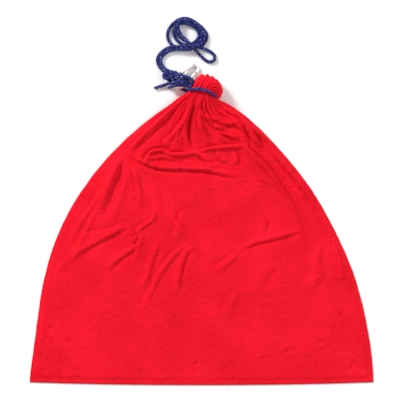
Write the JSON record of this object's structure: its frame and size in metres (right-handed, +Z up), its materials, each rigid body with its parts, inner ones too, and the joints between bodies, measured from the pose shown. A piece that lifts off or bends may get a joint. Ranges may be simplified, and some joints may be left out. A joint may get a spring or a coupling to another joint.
{
  "type": "throw rope bag",
  "caption": "Large flat cloth bag gathered and tied at the neck with braided cord, with a sprung snap hook lashed to the knot and a doubled line in a loose coil.",
  "frame": {"origin": "middle of the underside's bounding box, on the surface the bag lies on, measured without the free line", "axes": "+X across the bag to the right seen from above, +Y from the hem to the tied neck, +Z up"},
  "size_m": [0.858, 0.9207, 0.0548],
  "materials": {
    "red_cloth": "soft thin cotton weave, matt with a faint sheen",
    "red_thread": "spun polyester sewing thread",
    "navy_cord": "braided polyester with pale flecks",
    "melted_end": "heat-sealed cord end",
    "hook_steel": "bright zinc-plated round bar",
    "pin_steel": "drawn steel pin",
    "spring_steel": "spring wire"
  },
  "bodies": {
    "bag": {"back_panel": "red_cloth", "front_panel": "red_cloth", "left_seam": "red_cloth", "right_seam": "red_cloth", "hem_fold": "red_cloth", "hem_thread": "red_thread", "neck_gather": "red_cloth", "neck_ruff": "red_cloth", "neck_tie": "navy_cord", "lashing_cord": "navy_cord", "tucked_strand": "navy_cord", "long_tail_seal": "melted_end", "short_tail_seal": "melted_end", "hitch_knot": "navy_cord", "line_lead_outer": "navy_cord", "line_lead_inner": "navy_cord", "line_coil": "navy_cord", "line_bight": "navy_cord"},
    "snap_hook": {"hook_frame": "hook_steel", "gate_rivet": "pin_steel"},
    "gate": {"hook_gate": "hook_steel", "latch_pin": "pin_steel", "gate_spring": "spring_steel"},
    "plunger": {"spring_plunger": "pin_steel"}
  },
  "joints": [
    {"name": "hook_swing", "type": "hinge", "parent": "bag", "child": "snap_hook", "pos_m": [-0.06042, 0.3727, 0.01265], "axis": [0.1264, 0.1061, 0.9863], "range_deg": [-5, 8]},
    {"name": "gate_hinge", "type": "hinge", "parent": "snap_hook", "child": "gate", "pos_m": [-0.01438, 0.37791, 0.00618], "axis": [-0.1264, -0.1061, -0.9863], "range_deg": [0, 30], "stiffness_Nm_per_rad": 0.08, "springref_deg": -28.65},
    {"name": "plunger_slide", "type": "slide", "parent": "gate", "child": "plunger", "axis": [-0.6583, -0.7348, 0.1634], "range_m": [0, 0.0016], "deforming": ["gate_spring"]}
  ],
  "couplings": [
    {"joint": "plunger_slide", "follows": "gate_hinge", "m_per_rad": 0.00275}
  ]
}
